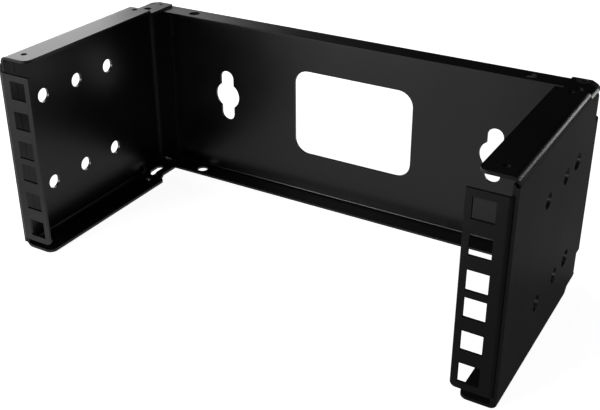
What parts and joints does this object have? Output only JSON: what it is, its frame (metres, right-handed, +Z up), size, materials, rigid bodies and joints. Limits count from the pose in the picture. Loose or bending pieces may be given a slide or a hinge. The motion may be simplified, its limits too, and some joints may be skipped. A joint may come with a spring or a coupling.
{
  "type": "wall mount open frame rack",
  "caption": "Open wall frame for small network devices: a folded back panel with keyholes and a cable window, two side arms and square-hole front rails.",
  "frame": {"origin": "centre of the overall footprint, at the underside of the arms' lower flanges", "axes": "+X to the right seen from the front, +Y to the wall, +Z up"},
  "size_m": [0.2612, 0.1234, 0.1066],
  "materials": {
    "powder_coat": "satin black powder coat on folded steel",
    "rail_coat": "satin black powder coat on folded steel",
    "screw_finish": "black finished steel"
  },
  "bodies": {
    "root": {"back_panel": "powder_coat", "left_arm": "powder_coat", "left_rail": "rail_coat", "left_top_screw": "screw_finish", "left_bottom_screw": "screw_finish", "right_arm": "powder_coat", "right_rail": "rail_coat", "right_top_screw": "screw_finish", "right_bottom_screw": "screw_finish"}
  },
  "joints": []
}
